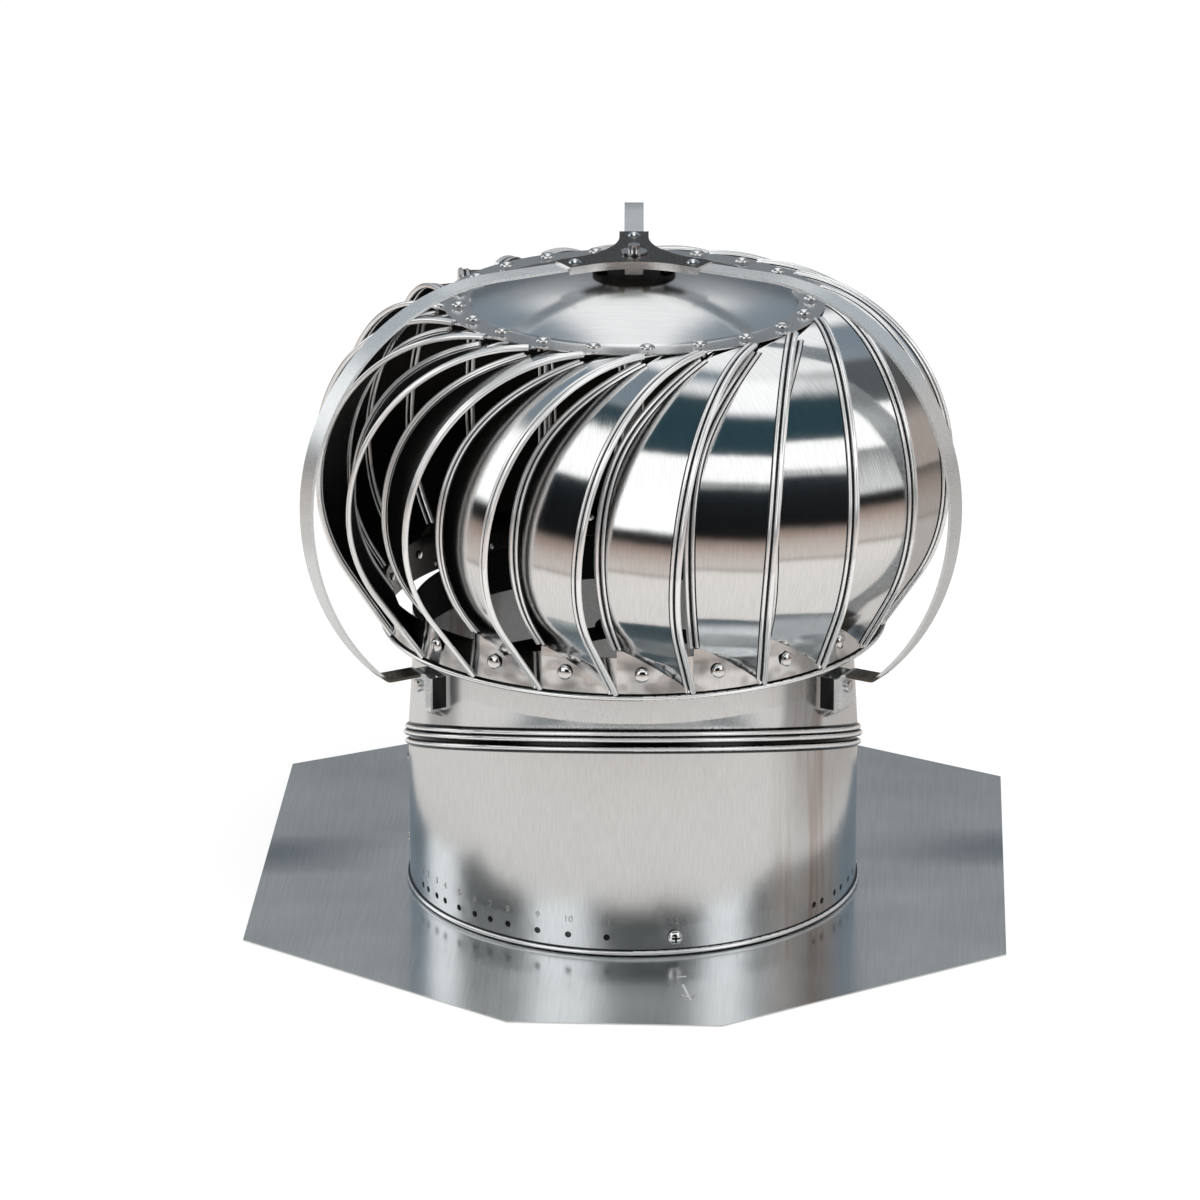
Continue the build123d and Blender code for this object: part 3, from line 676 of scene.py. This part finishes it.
def bottom_rivets():
    master = rivet_master(RIVET_RADIUS, 3.0 * MM, RIVET_TAIL)
    master.rotation_euler = (math.radians(90), 0, 0)
    master.location = (0, -RING_RADIUS - SHEET, BOTTOM_RIVET_HEIGHT)
    bake_place(master)
    row = [FIRST_RIVET_AZIMUTH + turn for turn in BLADE_TURNS]
    whole = joined(turned_copies(master, row), "ring_rivets")
    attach(whole, "head")
    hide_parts("bottom_rivets")


def in_recess(face):
    """Faces near the screw's axis, by their height under a dome that would stand on z = 0. They take dark
    steel as painted shade.
    """
    away = math.hypot(face.center.x, face.center.y)
    dome = RIVET_RIM + (SCREW_HEIGHT - RIVET_RIM) * math.sqrt(max(0, 1 - (away / SCREW_RADIUS) ** 2))
    return away < RECESS_REACH and 0.8 * MM < face.center.z < dome - 0.12 * MM


def lock_screw():
    """Pan head with a cross recess, and the short shank that ends at the collar's inner face."""
    bottom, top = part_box("collar_lock_screw")
    middle = (bottom + top) / 2
    screw = rivet_master(SCREW_RADIUS, SCREW_HEIGHT, 0.1 * MM, 2.1 * MM)
    length, width, height = RECESS
    for name, across in (("recess_0", (length, width)), ("recess_1", (width, length))):
        bpy.ops.mesh.primitive_cube_add(size=1, location=(0, 0, SCREW_HEIGHT))
        cutter = bpy.context.object
        cutter.scale = (*across, height)
        bake_place(cutter)
        cut = screw.modifiers.new(name, "BOOLEAN")
        cut.operation = "DIFFERENCE"
        cut.solver = "EXACT"
        cut.object = cutter
        alone(screw)
        bpy.ops.object.modifier_apply(modifier=name)
        bpy.data.objects.remove(cutter)
    # The recess takes dark steel as painted shade.
    paint_faces(screw, 1, in_recess)
    screw.rotation_euler = (math.radians(90), 0, 0)
    screw.location = (0, -COLLAR_RADIUS - 0.1 * MM, middle.z)
    bake_place(screw)
    screw.rotation_euler.z = math.atan2(middle.x, -middle.y)
    bake_place(screw)
    screw.name = "cross_head_lock_screw"
    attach(screw, "lower_base")
    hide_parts("collar_lock_screw")


# ---------- marks ----------

SETTING_AZIMUTHS = (-68.2, -64.7, -59.8, -55.7, -49.7, -43.8, -38.5, -33.0, -24.5, -16.3, -6.5, 10.5)
FIGURE_SIZE = 6.6 * MM
FIGURE_FOOT = 22.5 * MM
FIGURE_STAND = 0.05 * MM
FIGURE_DEPTH = 0.12 * MM
ARROW_TAIL, ARROW_TIP = Vector((33.0 * MM, -203.0 * MM, 0)), Vector((37.3 * MM, -226.0 * MM, 0))
ARROW_RADIUS = 0.8 * MM
ARROW_STAND = 0.1 * MM
BARB_LENGTH, BARB_SPREAD = 6 * MM, 4.2 * MM
DIMPLE_SIZE = (3.6 * MM, 1.8 * MM, 0.45 * MM)
DIMPLE_PLACE = (32.0 * MM, -188.0 * MM, SHEET)


def setting_figures():
    """Plain raised figures 1 to 12 above the setting holes."""
    figures = []
    for number, azimuth in enumerate(SETTING_AZIMUTHS, start=1):
        bpy.ops.object.select_all(action="DESELECT")
        bpy.ops.object.text_add()
        figure = bpy.context.object
        figure.data.body = str(number)
        figure.data.size = FIGURE_SIZE
        figure.data.align_x = "CENTER"
        figure.data.extrude = FIGURE_DEPTH
        figure.data.resolution_u = 3
        bpy.ops.object.convert(target="MESH")
        turn = math.radians(azimuth + TURBINE_TURN)
        reach = COLLAR_RADIUS + FIGURE_STAND
        figure.location = (math.sin(turn) * reach, -math.cos(turn) * reach, FIGURE_FOOT)
        figure.rotation_euler = (math.radians(90), 0, turn)
        bake_place(figure)
        figures.append(figure)
    whole = joined(figures, "setting_figures")
    coat(whole, FIGURE_METAL)
    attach(whole, "lower_base")


def flashing_marks():
    """A raised arrow and a dimple that point down the roof."""
    heading = (ARROW_TIP - ARROW_TAIL).normalized()
    side = Vector((-heading.y, heading.x, 0)) * BARB_SPREAD
    back = ARROW_TIP - heading * BARB_LENGTH
    marks = []
    for first, last in ((ARROW_TAIL, ARROW_TIP), (ARROW_TIP, back + side), (ARROW_TIP, back - side)):
        bpy.ops.mesh.primitive_cylinder_add(vertices=16, radius=ARROW_RADIUS, depth=(last - first).length)
        bar = bpy.context.object
        bar.rotation_euler = (last - first).to_track_quat("Z", "Y").to_euler()
        bar.location = (first + last) / 2 + Vector((0, 0, SHEET + ARROW_STAND))
        bake_place(bar)
        bpy.ops.object.shade_smooth_by_angle(angle=math.radians(40))
        marks.append(bar)
    bpy.ops.mesh.primitive_uv_sphere_add(segments=24, ring_count=12, radius=1)
    dimple = bpy.context.object
    dimple.scale = DIMPLE_SIZE
    dimple.location = DIMPLE_PLACE
    bake_place(dimple)
    bpy.ops.object.shade_smooth()
    marks.append(dimple)
    whole = joined(marks, "flashing_marks")
    whole.rotation_euler.z = math.radians(TURBINE_TURN)
    bake_place(whole)
    coat(whole, RIVET_METAL)
    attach(whole, "base")


# ---------- rolled beads ----------

CREST = 1.5 * MM  # radius of the bright crest of a bead


def rolled_bead(reach, level, tilt):
    """A bead round the turbine, level above the flashing or above the seam's middle."""
    turn = math.radians(TURBINE_TURN)
    axis = Vector((-math.sin(turn) * math.sin(tilt), math.cos(turn) * math.sin(tilt), math.cos(tilt)))
    centre = Vector((0, 0, SEAM_HEIGHT if tilt else 0)) + axis * level
    bpy.ops.mesh.primitive_torus_add(major_segments=180, minor_segments=16, major_radius=reach,
                                     minor_radius=CREST, location=centre, rotation=(-tilt, 0, turn))
    bead = bpy.context.object
    bake_place(bead)
    bpy.ops.object.shade_smooth()
    return bead


def rolled_beads(name, body, beads):
    whole = joined([rolled_bead(*bead) for bead in beads], name)
    coat(whole, HEM_METAL)
    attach(whole, body)


blades()
top_rivets()
bottom_rivets()
setting_figures()
lock_screw()
flashing_marks()

# Radius of each bead's middle, its level and its tilt
rolled_beads("lower_beads", "lower_base", (
    (COLLAR_RADIUS + 0.65 * MM, 3 * MM, 0), (COLLAR_RADIUS + 0.95 * MM, -4 * MM, SEAM_TILT)))
rolled_beads("upper_beads", "frame", (
    (COLLAR_RADIUS + 1.95 * MM, 2 * MM, SEAM_TILT), (COLLAR_RADIUS + 0.95 * MM, 6 * MM, SEAM_TILT)))
rolled_beads("ring_bead", "head", ((RING_RADIUS + 1.65 * MM, RING_FOOT + 1.9 * MM, 0),))


# ---------- studio ----------

LENS, SENSOR = 183.5, 36  # millimetres
CAMERA_PLACE = (0.17541, -3.90807, 1.5267)
CAMERA_TILT, CAMERA_TURN = math.radians(71.24), math.radians(0.33 + TURBINE_TURN)

camera_data = bpy.data.cameras.new("camera")
camera_data.lens = LENS
camera_data.sensor_width = SENSOR
camera = bpy.data.objects.new("camera", camera_data)
bpy.context.collection.objects.link(camera)
camera.location = CAMERA_PLACE
camera.rotation_euler = (CAMERA_TILT, 0, CAMERA_TURN)
bpy.context.scene.camera = camera
bpy.context.scene.view_settings.view_transform = "Standard"

PLAIN_WHITE = (1.0, 1.0, 1.0, 1)
MATT_WHITE = (0.9, 0.9, 0.9, 1)
CEILING_WHITE = (1.1, 1.1, 1.1, 1)
WINDOW_WHITE = (1.15, 1.15, 1.13, 1)
STRIP_WHITE = (1.25, 1.25, 1.25, 1)
FLANK_BLUE = (0.20, 0.245, 0.285, 1)
WALL_BLUE = (0.05, 0.07, 0.09, 1)
ROOM_BLUE = (0.02, 0.05, 0.065, 1)
ROOM_BLACK = (0.004, 0.005, 0.006, 1)
SIDE_BROWN = (0.38, 0.33, 0.30, 1)
DIM_BROWN = (0.22, 0.19, 0.17, 1)

# Where the room's parts begin and end, and how softly. Widths are azimuths, and rises are
# degrees above the horizon.
WINDOW_WIDTH, WINDOW_RISE = (-125, 92, 5), (27, 48.5, 1.2)
SILL_WIDTH, SILL_TOP = (-12, 28, 7), (30, 33)  # the window starts higher here
STRIP_WIDTHS, STRIP_RISE = ((-130, -100, 8), (-54, -22, 7), (36, 60, 7)), (3, 28, 2.0)
FLANK_WIDTH, FLANK_RISE = (128, 167, 4), (13, 62, 5)
CEILING_RISE = (72, 80)

FLOOR_REACH = 10.0  # metres that the floor's colours spread over

# Distance from the turbine in metres, and the floor's colour there as polished metal sees it
FLOOR_COLOURS = (
    (0.0, (0.66, 0.64, 0.62, 1)), (0.72, (0.66, 0.63, 0.60, 1)), (0.78, (0.34, 0.30, 0.28, 1)),
    (0.84, (0.52, 0.47, 0.44, 1)), (2.0, (0.34, 0.27, 0.23, 1)), (4.2, (0.07, 0.055, 0.05, 1)),
    (7.0, ROOM_BLACK))

LAMP_PLACE, LAMP_AIM = Vector((0.6, -0.8, 3.2)), Vector((0, 0, 0.2))
LAMP_SIZE, LAMP_POWER = 2.4, 60


def studio_world():
    """White to the eye. Polished metal sees a dark room with a wide window, three bright strips under
    it, a brown side, a pale wall behind between blue flanks, and a white ceiling."""
    world = bpy.data.worlds.new("studio")
    bpy.context.scene.world = world
    finish = Finish(world)
    x, y, z = finish.split(finish.node("ShaderNodeTexCoord", output="Generated"))
    height = finish.maths("ARCSINE", z) * DEGREES
    turn = finish.turn(x, y) - TURBINE_TURN
    side = abs(turn)
    front = side.step(120, 150, 1.0, 0.0)
    flanks = side.band(*FLANK_WIDTH) * height.band(*FLANK_RISE)
    wall = (height.step(14, 19, 0.06, 0.23) + height.step(22, 34, 0.0, 0.7)) * height.step(-12, -4)
    strips = sum(turn.band(*width) for width in STRIP_WIDTHS) * height.band(*STRIP_RISE)
    sill = turn.band(*SILL_WIDTH) * height.step(*SILL_TOP, 1.0, 0.0)
    window = height.band(*WINDOW_RISE) * turn.band(*WINDOW_WIDTH) * (1 - sill)
    room = finish.blend(height.step(10, 60), ROOM_BLACK, ROOM_BLUE)
    room = finish.blend(turn.step(62, 84) * height.step(18, 30, 1.0, 0.2), room, SIDE_BROWN)
    room = finish.blend(front, finish.blend(wall, WALL_BLUE, PLAIN_WHITE), room)
    room = finish.blend(flanks, room, FLANK_BLUE)
    room = finish.blend(strips, room, STRIP_WHITE)
    room = finish.blend(window, room, WINDOW_WHITE)
    room = finish.blend(height.step(*CEILING_RISE), room, CEILING_WHITE)
    glossy = finish.node("ShaderNodeLightPath", output="Is Glossy Ray")
    colour = finish.blend(glossy, PLAIN_WHITE, room)
    background = finish.node("ShaderNodeBackground", {}, {"Color": colour, "Strength": 1.0})
    finish.close(background, "ShaderNodeOutputWorld")


def studio_floor():
    """Pale to the eye. Polished metal sees it go from pale to black with distance."""
    bpy.ops.object.select_all(action="DESELECT")
    bpy.ops.mesh.primitive_plane_add(size=30, location=(0, 0, -0.5 * MM))
    floor = bpy.context.object
    floor.name = "floor"
    bpy.ops.object.transform_apply(location=True)
    paint = bpy.data.materials.new("floor_paint")
    finish = Finish(paint)
    x, y, z = finish.split(finish.place())
    reach = finish.reach()
    camera_ray = finish.node("ShaderNodeLightPath", output="Is Camera Ray")
    glossy = finish.node("ShaderNodeLightPath", output="Is Glossy Ray")
    seen = finish.grade(reach * (1 / FLOOR_REACH), [
        (distance / FLOOR_REACH, colour) for distance, colour in FLOOR_COLOURS])
    dim = finish.turn(x, y).band(74, 150, 12) * reach.step(0.2, 0.4) * 0.6
    seen = finish.blend(dim, seen, DIM_BROWN)
    glow = finish.node("ShaderNodeEmission", {}, {"Color": finish.blend(glossy, PLAIN_WHITE, seen)})
    matt = finish.node("ShaderNodeBsdfDiffuse", {}, {"Color": finish.blend(glossy, MATT_WHITE, seen)})
    share = camera_ray * 0.7 + glossy * 0.6
    finish.close(finish.node("ShaderNodeMixShader", {}, {0: share, 1: matt, 2: glow}))
    floor.data.materials.append(paint)


def softbox():
    """Lights the object from above, and isn't itself seen in the metal."""
    data = bpy.data.lights.new("overhead", "AREA")
    data.shape = "SQUARE"
    data.size = LAMP_SIZE
    data.energy = LAMP_POWER
    lamp = bpy.data.objects.new("overhead", data)
    bpy.context.collection.objects.link(lamp)
    lamp.location = LAMP_PLACE
    lamp.rotation_euler = (LAMP_AIM - LAMP_PLACE).to_track_quat("-Z", "Y").to_euler()
    lamp.visible_glossy = False


studio_world()
studio_floor()
softbox()
